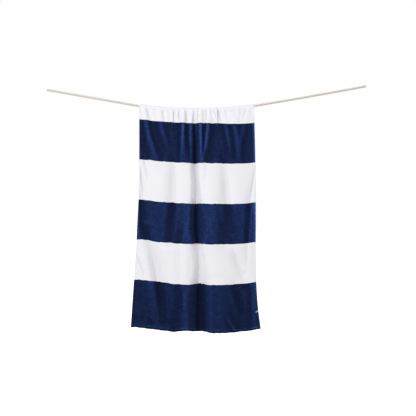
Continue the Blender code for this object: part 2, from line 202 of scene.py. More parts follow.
FOLDS = (
    # the corner fold and the gathers over the rope, from left to right
    Fold(-0.352, -0.15, 0.006, -0.316, 0.20, 0.010, -0.240, 0.40, 0.001, 0.024, 0.016, 0.2),
    Fold(-0.240, -0.16, 0.001, -0.234, 0.13, 0.006, -0.180, 0.30, 0.000, 0.022, 0.014, 0.2),
    Fold(-0.163, -0.20, 0.003, -0.1605, 0.06, 0.014, -0.158, 0.14, 0.000, 0.018, 0.006, 0.4),
    Fold(-0.126, -0.12, 0.001, -0.1255, 0.05, 0.007, -0.124, 0.12, 0.000, 0.011, 0.006, 0.3),
    Fold(-0.084, -0.20, 0.004, -0.092, 0.12, 0.013, -0.100, 0.42, 0.001, 0.014, 0.016, 0.2),
    Fold(-0.036, -0.20, 0.003, -0.030, 0.06, 0.007, -0.036, 0.21, 0.000, 0.014, 0.008, 0.2),
    Fold(0.000, -0.10, 0.001, 0.002, 0.05, 0.007, 0.004, 0.12, 0.000, 0.009, 0.006, 0.3),
    Fold(0.030, -0.18, 0.002, 0.026, 0.16, 0.013, 0.038, 0.46, 0.002, 0.014, 0.015),
    Fold(0.090, -0.14, 0.004, 0.067, 0.19, 0.012, 0.036, 0.40, 0.002, 0.012, 0.020),
    Fold(0.126, -0.20, 0.003, 0.128, 0.07, 0.015, 0.136, 0.15, 0.000, 0.022, 0.008, 0.4),
    Fold(0.268, -0.14, 0.001, 0.268, 0.04, 0.003, 0.266, 0.11, 0.000, 0.012, 0.008, 0.2),
    Fold(0.338, -0.14, 0.001, 0.338, 0.04, 0.003, 0.335, 0.11, 0.000, 0.014, 0.010, 0.2),
    # the three on the right that run together in the top navy stripe
    Fold(0.174, 0.06, 0.000, 0.206, 0.21, 0.006, 0.226, 0.34, 0.000, 0.016, 0.018),
    Fold(0.235, 0.05, 0.001, 0.259, 0.20, 0.011, 0.278, 0.40, 0.001, 0.024, 0.022),
    Fold(0.322, 0.06, 0.000, 0.292, 0.21, 0.005, 0.274, 0.38, 0.000, 0.020, 0.020),
    # the shoulder left of the deep middle fold, near its top
    Fold(-0.068, 0.04, 0.000, -0.066, 0.20, -0.008, -0.062, 0.42, 0.000, 0.012, 0.020),
    Fold(-0.048, 0.14, 0.000, -0.050, 0.27, -0.003, -0.052, 0.44, 0.000, 0.014, 0.014),
    # the left half: two troughs, the diagonal fold and the shoulder down to the hem
    Fold(-0.376, 0.34, -0.003, -0.366, 0.68, -0.014, -0.358, 1.00, -0.003, 0.018, 0.054),
    Fold(-0.166, 0.28, 0.000, -0.156, 0.54, -0.026, -0.190, 0.94, -0.004, 0.038, 0.034),
    Fold(-0.350, 0.80, -0.010, -0.269, 1.10, -0.041, -0.225, 1.44, -0.003, 0.031, 0.060),
    Fold(-0.090, 0.40, 0.000, -0.071, 0.80, 0.012, -0.078, 1.52, 0.013, 0.044, 0.034),
    # the right half: two swells, then the troughs, and the ridge at the edge
    Fold(0.085, 0.36, 0.002, 0.098, 0.74, 0.020, 0.116, 1.12, 0.003, 0.052, 0.056),
    Fold(0.128, 0.90, 0.000, 0.150, 1.26, 0.013, 0.160, 1.54, 0.013, 0.056, 0.070),
    Fold(0.034, 0.98, -0.002, 0.038, 1.28, -0.018, 0.044, 1.54, -0.021, 0.026, 0.038),
    Fold(0.160, 0.26, 0.000, 0.192, 0.56, -0.020, 0.212, 0.84, -0.001, 0.032, 0.044),
    Fold(0.225, 0.92, 0.000, 0.266, 1.06, -0.014, 0.320, 1.24, -0.004, 0.034, 0.034),
    Fold(0.225, 1.12, 0.000, 0.266, 1.27, -0.010, 0.298, 1.44, 0.000, 0.030, 0.036),
    Fold(0.374, 0.46, 0.000, 0.343, 0.70, -0.010, 0.322, 1.14, -0.004, 0.030, 0.016),
    Fold(0.372, 1.10, 0.000, 0.374, 1.28, 0.007, 0.386, 1.50, 0.004, 0.022, 0.016),
)


# Spots across the cloth, and the share of its length that small wrinkles take up there.
TAKE_UPS = ((-0.5, 0.007), (0.0, 0.002), (0.2, 0.004), (0.5, 0.018))


# The deep fold down the middle: drop, side where it is deepest, depth there, how much nearer to
# the viewer the cloth right of it lies, and the widths of its left and right flanks.
TUCKS = (
    (-0.25, -0.018, 0.000, 0.000, 0.020, 0.020),
    (0.02, -0.018, 0.000, 0.000, 0.020, 0.020),
    (0.06, -0.019, 0.010, 0.000, 0.014, 0.012),
    (0.13, -0.018, 0.021, 0.000, 0.022, 0.026),
    (0.21, -0.014, 0.033, 0.001, 0.034, 0.034),
    (0.29, -0.012, 0.044, 0.002, 0.046, 0.036),
    (0.42, -0.009, 0.056, 0.003, 0.038, 0.030),
    (0.55, -0.001, 0.058, 0.004, 0.042, 0.030),
    (0.68, -0.006, 0.060, 0.005, 0.044, 0.062),
    (0.80, -0.007, 0.060, 0.006, 0.048, 0.076),
    (0.95, 0.010, 0.048, 0.008, 0.046, 0.046),
    (1.09, 0.014, 0.050, 0.009, 0.042, 0.068),
    (1.22, 0.009, 0.056, 0.010, 0.066, 0.080),
    (1.40, 0.008, 0.052, 0.010, 0.072, 0.090),
    (1.52, 0.006, 0.044, 0.010, 0.068, 0.090),
)
TUCK_ROUNDING = 0.006  # of its crease
TUCK_STEP_RISE = 0.10  # width in which the nearer cloth comes forward
TUCK_STEP_REACH = 0.17  # and in which it falls back again, further right

HEM_LIFT = 0.013  # how far the front hem rises on the middle fold's left flank
HEM_LIFT_SIDE = -0.060  # where it is highest
HEM_LIFT_LEFT = 0.062  # half width of the rise to the left of there
HEM_LIFT_RIGHT = 0.032
HEM_LIFT_DROPS = (1.28, 1.44)  # it grows between these
PINCH = 0.28  # share of a fold's height that is left where the cloth bears on the rope
PINCH_DROPS = (0.010, 0.040)  # it grows back between these, on both sides
SWELL = 0.022  # how far the middle of the front stands out from the rope
SWELL_DROPS = (0.02, 0.26)  # it comes forward between these
SWELL_POWER = 4  # the higher, the flatter the swell's middle
SIDE_SAMPLES = 1201  # across a row, before its points are spaced evenly along the cloth
DROP_SAMPLES = 340  # rows that are worked out; the grid's own lie between them

# Fine ridges, or grooves where the height is under 0, each from one point to another: side and
# drop of the first, side and drop of the second, height and width.
CREASES = (
    # near the side edges
    (-0.356, 0.35, -0.326, 0.50, -0.0115, 0.007),
    (-0.371, 0.42, -0.356, 0.62, -0.0110, 0.006),
    (-0.400, 1.00, -0.335, 1.16, -0.0050, 0.010),
    (0.386, 0.42, 0.354, 0.64, -0.0060, 0.006),
    # between the gathers, just below the rope
    (-0.335, 0.01, -0.296, 0.13, -0.0070, 0.008),
    (-0.222, 0.01, -0.212, 0.11, -0.0065, 0.006),
    (-0.160, 0.01, -0.150, 0.09, -0.0060, 0.005),
    (-0.122, 0.02, -0.114, 0.09, -0.0045, 0.005),
    (-0.070, 0.02, -0.060, 0.12, -0.0080, 0.006),
    (0.006, 0.02, 0.006, 0.12, -0.0085, 0.005),
    (0.064, 0.01, 0.060, 0.10, -0.0065, 0.005),
    (0.092, 0.01, 0.096, 0.06, -0.0030, 0.004),
    (0.108, 0.01, 0.140, 0.11, -0.0070, 0.007),
    (0.146, 0.02, 0.164, 0.12, -0.0050, 0.006),
    (0.185, 0.02, 0.200, 0.10, -0.0020, 0.006),
    (0.330, 0.02, 0.300, 0.11, -0.0020, 0.006),
    # on the hanging front
    (-0.325, 0.20, -0.262, 0.42, 0.0085, 0.034),
    (-0.051, 0.13, -0.049, 0.42, -0.0045, 0.015),
    (-0.060, 0.76, -0.080, 0.89, 0.0022, 0.017),
    (-0.230, 0.985, -0.060, 0.975, -0.0010, 0.005),
    (0.026, 0.93, 0.055, 1.03, -0.0025, 0.006),
    (0.245, 0.94, 0.295, 1.06, 0.0035, 0.008),
    # above the front hem
    (-0.080, 1.20, -0.074, 1.37, 0.0030, 0.016),
    (-0.105, 1.352, -0.055, 1.350, -0.0030, 0.005),
    (0.196, 1.400, 0.260, 1.500, 0.0032, 0.012),
    (-0.430, 1.415, -0.325, 1.420, -0.0030, 0.007),
    (-0.330, 1.420, -0.270, 1.456, -0.0025, 0.007),
)
CREASE_RISE = (-0.10, 0.35)  # shares of its length between which a crease comes up
CREASE_FADE = (0.65, 1.10)  # and between which it goes down


def smooth(value, low, high):
    """0 below low, 1 above high, and an S between them."""
    share = np.clip((value - low) / (high - low), 0.0, 1.0)
    return share * share * (3 - 2 * share)


def bell(away, width):
    """1 in the middle, a third at the width, and soon 0."""
    return np.exp(-((away / width) ** 2))


def curve_through(where, marks, values):
    """A smooth curve through the values at the marks (Catmull-Rom)."""
    marks, values = np.asarray(marks), np.asarray(values, float)
    slopes = np.gradient(values, marks, axis=0)
    at = np.clip(np.searchsorted(marks, where) - 1, 0, len(marks) - 2)
    gap = marks[at + 1] - marks[at]
    s = np.clip((where - marks[at]) / gap, 0.0, 1.0)
    if values.ndim == 2 and np.ndim(s):
        gap, s = gap[:, None], s[:, None]
    start = (2 * s**3 - 3 * s**2 + 1) * values[at] + (s**3 - 2 * s**2 + s) * gap * slopes[at]
    end = (3 * s**2 - 2 * s**3) * values[at + 1] + (s**3 - s**2) * gap * slopes[at + 1]
    return start + end


def at_drop(drop, table):
    """What a table that starts each row with a drop says at this drop."""
    table = np.array(table)
    return curve_through(drop, table[:, 0], table[:, 1:])


def running_total(steps):
    """How far each point lies from the first, from the steps between them."""
    return np.concatenate([[0.0], np.cumsum(steps)])


def fold_height(fold, sides, drop):
    """Height of one fold along a row of the cloth."""
    drops = (fold.drop_1, fold.drop_2, fold.drop_3)
    if not drops[0] < drop < drops[2]:
        return np.zeros_like(sides)
    path = curve_through(drop, drops, (fold.side_1, fold.side_2, fold.side_3))
    height = fold.height_1 + (fold.height_2 - fold.height_1) * smooth(drop, *drops[:2])
    height += (fold.height_3 - fold.height_2) * smooth(drop, *drops[1:])
    away = sides - path
    return height * bell(away, np.where(away < 0, fold.left, fold.right))


def tuck_shape(sides, drop):
    """How far the middle fold brings a row of the cloth forward. Its flanks meet at a crease."""
    lowest, *sizes = at_drop(drop, TUCKS)
    depth, step, left, right = np.maximum(sizes, 0.0)
    away = sides - lowest
    rounded = np.hypot(away, TUCK_ROUNDING) - TUCK_ROUNDING
    up_flank = np.clip(rounded / np.where(away < 0, left, right), 0, 1)
    rise = step * smooth(away, 0, TUCK_STEP_RISE)
    rise *= bell(np.maximum(away - TUCK_STEP_RISE, 0), TUCK_STEP_REACH)
    return rise - depth * (1 - up_flank) ** 2


def row_shape(drop, spots):
    """(side, forward) of the cloth at this drop, for spots across it from -0.5 to 0.5."""
    edge = at_drop(drop, EDGES)
    sides = np.linspace(-edge[0], edge[1], SIDE_SAMPLES)
    forward = SWELL * smooth(drop, *SWELL_DROPS) * (1 - (np.abs(sides) / edge.max()) ** SWELL_POWER)
    across = sides.copy()
    free = PINCH + (1 - PINCH) * smooth(abs(drop), *PINCH_DROPS)
    for fold in FOLDS:
        height = fold_height(fold, sides, drop) * free
        forward += height
        across += fold.lean * height
    forward += tuck_shape(sides, drop)
    along = running_total(np.hypot(np.diff(across), np.diff(forward)))
    wanted = (spots + 0.5) * along[-1]
    return np.interp(wanted, along, across), np.interp(wanted, along, forward)


def front_length(spots):
    """From the front hem to the top of the rope, at these spots across the cloth."""
    top_white = TOP_WHITE_LEFT + (TOP_WHITE_RIGHT - TOP_WHITE_LEFT) * smooth(spots, 0, 0.5)
    return top_white + INNER_STRIPES * INNER_STRIPE + END_STRIPE


def smooth_route(points, spacing):
    """(distances, points) along a smooth curve through the given points, a spacing apart."""
    points = np.array(points)
    marks = running_total(np.hypot(*np.diff(points, axis=0).T))
    fine = curve_through(np.linspace(0, marks[-1], ROUTE_SAMPLES), marks, points)
    along = running_total(np.hypot(*np.diff(fine, axis=0).T))
    stations = np.linspace(0, along[-1], round(along[-1] / spacing) + 1)
    return stations, np.stack([np.interp(stations, along, axis) for axis in fine.T], axis=1)


def crease_height(side, drops):
    """How far the fine creases raise each point of the cloth."""
    total = np.zeros_like(side)
    for side_1, drop_1, side_2, drop_2, height, width in CREASES:
        run_side, run_drop = side_2 - side_1, drop_2 - drop_1
        length = math.hypot(run_side, run_drop)
        from_side, from_drop = side - side_1, drops - drop_1
        along = (from_side * run_side + from_drop * run_drop) / length**2
        away = (from_side * run_drop - from_drop * run_side) / length
        ends = smooth(along, *CREASE_RISE) * (1 - smooth(along, *CREASE_FADE))
        total += height * ends * bell(away, width)
    return total


def hang(x, y, z, drops, share):
    """Sets the height of the rows past the rope, by this share of the cloth's length in each."""
    on_rope = np.flatnonzero(np.abs(drops[:, 0]) <= CREST_REACH * CREST_ROUNDING)
    for step, first, last in ((-1, on_rope[0] - 1, -1), (1, on_rope[-1] + 1, len(drops))):
        for i in range(first, last, step):
            run = np.abs(drops[i] - drops[i - step]) * share
            swing = (x[i] - x[i - step]) ** 2 + (y[i] - y[i - step]) ** 2
            z[i] = z[i - step] - np.sqrt(np.maximum(run**2 - swing, (LEAST_FALL * run) ** 2))


def towel_points(spots, drops):
    """World places of the cloth's middle surface, for each row and column."""
    levels = np.linspace(drops.min(), drops.max(), DROP_SAMPLES)
    shapes = np.array([row_shape(level, spots) for level in levels])
    side, forward = (
        np.stack([np.interp(drops[:, j], levels, shapes[:, k, j]) for j in range(len(spots))], axis=1)
        for k in range(2)
    )
    forward += crease_height(side, drops)
    _, route = smooth_route(ROPE_ROUTE, ROPE_STEP)
    crest = np.argmin(np.abs(drops[:, 0]))
    hung_at = TOWEL_CENTRE + side[crest]
    axis_z = np.interp(hung_at, route[:, 0], route[:, 1])
    tilt = np.arctan(np.interp(hung_at, route[:, 0], np.gradient(route[:, 1], route[:, 0])))
    round_rope = np.clip(drops / CREST_RADIUS, -math.pi / 2, math.pi / 2)
    out = CREST_RADIUS + forward
    x = TOWEL_CENTRE + side - np.sin(tilt) * out * np.cos(round_rope)
    y = -out * np.sin(round_rope)
    z = axis_z + out * np.cos(round_rope) * np.cos(tilt)
    hang(x, y, z, drops, 1 - curve_through(spots, *zip(*TAKE_UPS)))
    away = side - HEM_LIFT_SIDE
    lift = HEM_LIFT * bell(away, np.where(away < 0, HEM_LIFT_LEFT, HEM_LIFT_RIGHT))
    z += lift * smooth(drops, *HEM_LIFT_DROPS)
    return np.stack([x, y, z], axis=-1)


# ---- meshes


def make_piece(name, points, faces):
    """A smooth-shaded mesh object that rides on the part's only body."""
    mesh = bpy.data.meshes.new(name)
    mesh.from_pydata([tuple(p) for p in points], [], [tuple(int(i) for i in f) for f in faces])
    mesh.validate()
    mesh.polygons.foreach_set("use_smooth", [True] * len(mesh.polygons))
    piece = bpy.data.objects.new(name, mesh)
    bpy.context.scene.collection.objects.link(piece)
    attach(piece, "root")
    return piece


def grid_faces(rows, columns, start=0, closed=False):
    """Corner numbers of the quads of a grid whose points are stored row by row."""
    number = start + np.arange(rows * columns).reshape(rows, columns)
    if closed:
        number = np.concatenate([number, number[:, :1]], axis=1)
    corners = (number[:-1, :-1], number[:-1, 1:], number[1:, 1:], number[1:, :-1])
    return np.stack([c.ravel() for c in corners], axis=1)


def dress(piece, finishes, numbers):
    """Gives a piece its finishes, and each of its faces the number of its own."""
    for finish in finishes:
        piece.data.materials.append(finish)
    piece.data.polygons.foreach_set("material_index", np.asarray(numbers, np.int32))


def store_number(piece, name, values):
    """A number for each point, for a material to read."""
    stored = piece.data.attributes.new(name, "FLOAT", "POINT")
    stored.data.foreach_set("value", np.asarray(values, np.float32))


def bending(points, outward):
    """How sharply a grid of points bends, in 1/metres: over 0 on a ridge, under 0 in a trough."""
    total = np.zeros(points.shape[:2])
    for axis in (0, 1):
        step = np.gradient(points, axis=axis)
        length = np.linalg.norm(step, axis=-1, keepdims=True)
        turn = np.gradient(step / length, axis=axis) / length
        total -= np.sum(turn * outward, axis=-1)
    for lines in (total, total.T):
        for _ in range(BEND_PASSES):
            lines[1:-1] = (lines[:-2] + 2 * lines[1:-1] + lines[2:]) / 4
    return total


def painted_fold_light(points, outward, spots, lengths):
    """Painted light: -1 for painted shade in a trough to 1 for a painted highlight on a ridge, the
    end hems' seams and the right edge.
    """
    bent = bending(points, outward)
    painted_light = np.sign(bent) * np.sqrt(np.abs(bent) / PAINTED_LIGHT_BEND)
    from_right = (0.5 - spots) * TOWEL_WIDTH
    painted_light += EDGE_HIGHLIGHT * bell(from_right, EDGE_HIGHLIGHT_REACH)
    from_end = np.minimum(lengths, TOWEL_LENGTH - lengths)
    painted_light += SEAM_HIGHLIGHT * bell(from_end - HEM_HEIGHT, SEAM_HIGHLIGHT_REACH)
    return np.clip(painted_light, -1, 1)


def painted_hollow_shade(points, drops):
    """Painted shade: 0 in the open to 1 at the bottom of a deep fold, from the cloth on both sides of
    it.
    """
    found = np.zeros(drops.shape)
    for i, (row, drop) in enumerate(zip(points, drops)):
        out = np.where(drop > 0, -row[:, 1], row[:, 1])
        near = bell(row[:, None, 0] - row[None, :, 0], HOLLOW_REACH) * np.gradient(row[:, 0])
        around = near @ out / near.sum(axis=1)
        found[i] = np.clip((around - out) / HOLLOW_DEPTH, 0, 1) * smooth(np.abs(drop), *SWELL_DROPS)
    return found


def store_uv(piece, name, places):
    """A UV layer from one pair of numbers for each point."""
    mesh = piece.data
    layer = mesh.uv_layers.new(name=name)
    corner = np.zeros(len(mesh.loops), int)
    mesh.loops.foreach_get("vertex_index", corner)
    layer.data.foreach_set("uv", np.asarray(places, np.float32)[corner].ravel())


def edge_steps(thickness, hem):
    """Distances from an edge where its rounding, hem and stitching need a line of points."""
    rounding = [thickness / 2 * share for share in ROUNDING_SHARES]
    seam = hem - STITCH_INSET
    at_seam = [seam * SEAM_LEAD, seam - SEAM_SIDE, seam, seam + SEAM_SIDE]
    return rounding + at_seam + [hem, hem + HEM_STEP]


def towel_spots():
    """Spots across the cloth from -0.5 to 0.5, closer together in the gathered middle."""
    edge = np.array(edge_steps(SIDE_HEM_THICKNESS, SIDE_HEM_WIDTH)) / TOWEL_WIDTH
    marks = (-0.5 + edge[-1], *GATHERED_SPOTS, 0.5 - edge[-1])
    inner = []
    for low, high, spacing in zip(marks, marks[1:], COLUMN_STEPS):
        count = round((high - low) * TOWEL_WIDTH / spacing)
        inner += list(np.linspace(low, high, count, endpoint=False))
    return np.concatenate([edge - 0.5, inner[1:], 0.5 - edge[::-1]])


def towel_rows(spots):
    """(drops of the grid's points from front hem to back hem, rows where the stripe changes)."""
    front = front_length(spots)
    edge = edge_steps(HEM_THICKNESS, HEM_HEIGHT)
    lengths = list(edge)
    starts = [edge[-1]] + [END_STRIPE + stripe * INNER_STRIPE for stripe in range(INNER_STRIPES + 1)]
    borders = []
    for low, high in zip(starts, starts[1:]):
        count = round((high - low) / ROW_STEP)
        lengths += list(np.linspace(low, high, count + 1)[1:])
        borders.append(len(lengths) - 1)
    rows = [front - length for length in lengths]
    crest = np.full_like(spots, CREST_REACH)
    rows += list(np.linspace(rows[-1], crest, TOP_ROWS)[1:-1])
    rows += list(np.linspace(crest, -crest, CREST_ROWS))
    back = TOWEL_LENGTH - front
    rows += list(np.linspace(-crest, edge[-1] - back, BACK_ROWS)[1:])
    rows += [length - back for length in edge[-2::-1]]
    return np.array(rows), borders


def hem_profile(away, thickness, hem):
    """Half the thickness of the cloth at a distance from one edge, without the edge's rounding."""
    inner = smooth(away, hem, hem + HEM_STEP)
    half = thickness / 2 + (CLOTH_THICKNESS - thickness) / 2 * inner
    return half - SEAM_DEPTH * bell(away - hem + STITCH_INSET, SEAM_WIDTH)


def half_thickness(spots, drops):
    """Half the cloth's thickness at each point: rounded edges, thicker hems, sunk seams."""
    from_side = ((0.5 - np.abs(spots)) * TOWEL_WIDTH)[None, :]
    lengths = front_length(spots)[None, :] - drops
    from_end = np.minimum(lengths, TOWEL_LENGTH - lengths)
    at_side = hem_profile(from_side, SIDE_HEM_THICKNESS, SIDE_HEM_WIDTH)
    at_end = hem_profile(from_end, HEM_THICKNESS, HEM_HEIGHT)
    half = np.maximum(at_side, at_end)
    half = np.where(from_end < HEM_HEIGHT, at_end, half)
    for away, full in ((from_side, SIDE_HEM_THICKNESS), (from_end, HEM_THICKNESS)):
        short = np.clip(1 - away / (full / 2), 0, 1)
        half = half * np.sqrt(1 - short**2)
    return half, lengths


class Sheet(NamedTuple):
    """The towel's surfaces as grids of points, from front hem to back hem."""

    face: np.ndarray
    reverse: np.ndarray
    outward: np.ndarray
    stripe: np.ndarray  # 0 in the navy stripes and 1 in the white ones


def reverse_numbers(rows, columns):
    """(point numbers of the reverse, which shares the face's rim; the face's points inside it)."""
    number = np.arange(rows * columns).reshape(rows, columns)
    inside = number[1:-1, 1:-1].flatten()
    number[1:-1, 1:-1] = rows * columns + np.arange(len(inside)).reshape(rows - 2, columns - 2)
    return number.ravel(), inside


def build_towel(finishes):
    """One closed sheet, whose face and reverse meet at its edges. Returns it and its surfaces."""
    spots = towel_spots()
    drops, borders = towel_rows(spots)
    middle = towel_points(spots, drops)
    half, lengths = half_thickness(spots, drops)
    outward = np.cross(np.gradient(middle, axis=1), np.gradient(middle, axis=0))
    outward /= np.linalg.norm(outward, axis=-1, keepdims=True)
    face = middle + outward * half[..., None]
    reverse = middle - outward * half[..., None]
    rows, columns = drops.shape
    reverse_number, inside = reverse_numbers(rows, columns)
    faces = grid_faces(rows, columns)
    faces = np.concatenate([faces, reverse_number[faces][:, ::-1]])
    points = np.concatenate([face.reshape(-1, 3), reverse.reshape(-1, 3)[inside]])
    towel = make_piece("towel_cloth", points, faces)
    flat = np.stack(np.broadcast_arrays((spots + 0.5) * TOWEL_WIDTH, lengths), axis=-1)
    flat = flat.reshape(-1, 2)
    store_uv(towel, "flat", np.concatenate([flat, flat[inside]]))
    # the painted highlight and shade of the folds, for the finishes to read
    for name, values in (
        ("painted_light", painted_fold_light(middle, outward, spots, lengths)),
        ("hollow_shade", painted_hollow_shade(middle, drops)),
    ):
        store_number(towel, name, np.concatenate([values.ravel(), values.ravel()[inside]]))
    stripe = np.searchsorted(borders, np.arange(rows), side="right") % 2
    on_face = np.repeat(stripe[:-1], columns - 1)
    dress(towel, finishes, np.concatenate([on_face, on_face + 2]))
    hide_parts("towel")
    return towel, Sheet(face, reverse, outward, np.repeat(stripe[:, None], columns, axis=1))


def strand_angle(around):
    """Angles round the rope, measured from the middle of the strand that each is on."""
    sector = 2 * math.pi / ROPE_STRANDS
    return (around + sector / 2) % sector - sector / 2


def strand_reach(angle):
    """The rope's radius at an angle from the middle of a strand."""
    across = STRAND_OFFSET * np.sin(angle)
    return STRAND_OFFSET * np.cos(angle) + np.sqrt(STRAND_RADIUS**2 - across**2)


def cut_groove(share, reach, angle):
    """Painted shade: 0 on the strands to 1 between them, on the ring at a share of a cut end's
    radius.
    """
    out = share * reach
    from_strand = np.hypot(out * np.cos(angle) - STRAND_OFFSET, out * np.sin(angle))
    return smooth(from_strand, CUT_GROOVE * STRAND_RADIUS, STRAND_RADIUS)


def ring_faces(outer, inner):
    """Corner numbers of the faces between two rings, or between a ring and one point."""
    corners = [outer, np.roll(outer, -1)]
    if len(inner) == 1:
        corners.append(np.repeat(inner, len(outer)))
    else:
        corners += [np.roll(inner, -1), inner]
    return np.stack(corners, axis=1)


def build_rope(finish):
    """Three laid strands as one closed surface with a flat cut at both ends."""
    stations, route = smooth_route(ROPE_ROUTE, ROPE_STEP)
    tangent = np.gradient(route, stations, axis=0)
    tangent /= np.linalg.norm(tangent, axis=1, keepdims=True)
    nothing = np.zeros(len(stations))
    normal = np.stack([-tangent[:, 1], nothing, tangent[:, 0]], axis=1)
    sideways = np.array([0.0, 1.0, 0.0])
    centre = np.stack([route[:, 0], nothing, route[:, 1]], axis=1)
    around = np.arange(ROPE_AROUND) * 2 * math.pi / ROPE_AROUND
    reach = strand_reach(strand_angle(around))
    angle = around[None, :] + (2 * math.pi * stations / ROPE_LAY)[:, None]
    swelling = ROPE_UNEVEN * np.sin(stations * ROPE_UNEVEN_RATE)
    uneven = 1 + swelling[:, None] * np.cos(ROPE_STRANDS * around)[None, :]
    rings = centre[:, None, :] + (reach * uneven)[..., None] * (
        np.cos(angle)[..., None] * sideways + np.sin(angle)[..., None] * normal[:, None, :]
    )
    turns = np.stack(np.broadcast_arrays(stations[:, None], angle / (2 * math.pi)), axis=-1)
    # for the painted shade in the grooves: 0 on a strand's crown to 1 between strands
    groove = np.broadcast_to((reach.max() - reach) / (reach.max() - reach.min()), angle.shape)
    points, lay, painted_shade = [rings.reshape(-1, 3)], [turns.reshape(-1, 2)], [groove.ravel()]
    faces = list(grid_faces(len(stations), ROPE_AROUND, closed=True))
    for end in (0, len(stations) - 1):
        layers = []
        for share in CUT_RINGS:
            place = centre[end] + (rings[end] - centre[end]) * share
            layers.append((place, turns[end], cut_groove(share, reach, strand_angle(around))))
        layers.append((centre[end][None], turns[end, :1], np.ones(1)))
        outer = end * ROPE_AROUND + np.arange(ROPE_AROUND)
        for layer in layers:
            inner = sum(len(p) for p in points) + np.arange(len(layer[0]))
            for kept, added in zip((points, lay, painted_shade), layer):
                kept.append(added)
            made = ring_faces(outer, inner)
            faces += list(made if end else made[:, ::-1])
            outer = inner
    rope = make_piece("rope_line", np.concatenate(points), faces)
    store_uv(rope, "lay", np.concatenate(lay))
    store_number(rope, "groove", np.concatenate(painted_shade))
    rope.data.materials.append(finish)
    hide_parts("rope")
    return rope


class Seam(NamedTuple):
    """A line on the cloth that is sewn: its points, their way out and the stripe of each."""

    points: np.ndarray
    outward: np.ndarray
    stripe: np.ndarray


def towel_seams(sheet, rows, columns):
    """The seams along these rows and columns of the sheet, on its face and its reverse."""
    seams = []
    for grid, outward in ((sheet.face, sheet.outward), (sheet.reverse, -sheet.outward)):
        for row in rows:
            middle = slice(SEAM_LINE, -SEAM_LINE)
            seams.append(Seam(grid[row, middle], outward[row, middle], sheet.stripe[row, middle]))
        for column in columns:
            flat = slice(ROUNDING_LINES, -ROUNDING_LINES)
            seams.append(Seam(grid[flat, column], outward[flat, column], sheet.stripe[flat, column]))
    return seams


def stitch_points(seam, along, start):
    """The rings of points of one stitch, which starts this far along a seam."""
    shares, widths = zip(*STITCH_RINGS)
    at = start + STITCH_LENGTH * np.array(shares)
    places = np.stack([np.interp(at, along, axis) for axis in seam.points.T], axis=1)
    out = np.array([np.interp(start, along, axis) for axis in seam.outward.T])
    ahead = places[-1] - places[0]
    ahead /= np.linalg.norm(ahead)
    over = np.cross(out, ahead)
    points = []
    for place, width in zip(places, widths):
        for turn in np.arange(STITCH_CORNERS) * 2 * math.pi / STITCH_CORNERS:
            step = over * math.cos(turn) + out * (math.sin(turn) + STITCH_PROUD) * width
            points.append(place + step * STITCH_RADIUS * width)
    return points


def build_stitches(name, seams, finishes):
    """Small thread stitches along the seams, each in the thread of its stripe."""
    ring = np.arange(STITCH_CORNERS)
    sides = grid_faces(len(STITCH_RINGS), STITCH_CORNERS, closed=True)
    one_stitch = [ring[::-1], *sides, ring + (len(STITCH_RINGS) - 1) * STITCH_CORNERS]
    points, faces, threads = [], [], []
    for seam in seams:
        along = running_total(np.linalg.norm(np.diff(seam.points, axis=0), axis=1))
        count = int(along[-1] / STITCH_PITCH)
        spare = along[-1] - (count - 1) * STITCH_PITCH - STITCH_LENGTH
        for start in spare / 2 + STITCH_PITCH * np.arange(count):
            faces += [len(points) + face for face in one_stitch]
            points += stitch_points(seam, along, start)
            threads += [int(np.interp(start, along, seam.stripe) > 0.5)] * len(one_stitch)
    piece = make_piece(name, points, faces)
    dress(piece, finishes, threads)
    return piece


def tab_place(sheet):
    """(middle, across, up, out) of the tab, laid on the cloth that is nearest to its solid."""
    low, high = (np.array(corner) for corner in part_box("side_tab"))
    centre = (low + high) / 2
    near = np.linalg.norm(sheet.face - centre, axis=-1)
    row, column = np.unravel_index(np.argmin(near), near.shape)
    out = sheet.outward[row, column]
    across = sheet.face[row, column + 1] - sheet.face[row, column - 1]
    across -= out * (across @ out)
    across /= np.linalg.norm(across)
    up = np.cross(out, across)
    across, up = (
        across * math.cos(TAB_TILT) + up * math.sin(TAB_TILT),
        up * math.cos(TAB_TILT) - across * math.sin(TAB_TILT),
    )
    middle = centre + out * ((sheet.face[row, column] - centre) @ out + TAB_CLEAR)
    return middle, across, up, out


def ribbon_path():
    """(along the tab, out from the cloth) of the ribbon's middle: one run, its fold and the other."""
    reach = TAB_LENGTH / 2
    bend = RIBBON_THICKNESS * RIBBON_BEND
    low = RIBBON_THICKNESS / 2
    turn = np.linspace(-math.pi / 2, math.pi / 2, RIBBON_ROUND)
    run = np.linspace(0, 1, RIBBON_ALONG)
    path = [(reach - 2 * reach * share, low) for share in run[:-1]]
    path += [(-reach + bend - bend * math.cos(a), low + bend * (1 + math.sin(a))) for a in turn]
    path += [(-reach + bend + (2 * reach - bend) * share, low + 2 * bend) for share in run[1:]]
    return np.array(path)


def ribbon_section():
    """(spots across the ribbon from -1 to 1, half its thickness at each)."""
    inner, outer = RIBBON_SELVEDGE
    spots = np.concatenate([[-1, -outer], np.linspace(-inner, inner, RIBBON_ACROSS), [outer, 1]])
    shares = np.full(len(spots), RIBBON_MIDDLE)
    shares[np.abs(spots) >= inner] = 1.0
    shares[[0, -1]] = RIBBON_RIM
    return spots, RIBBON_THICKNESS / 2 * shares


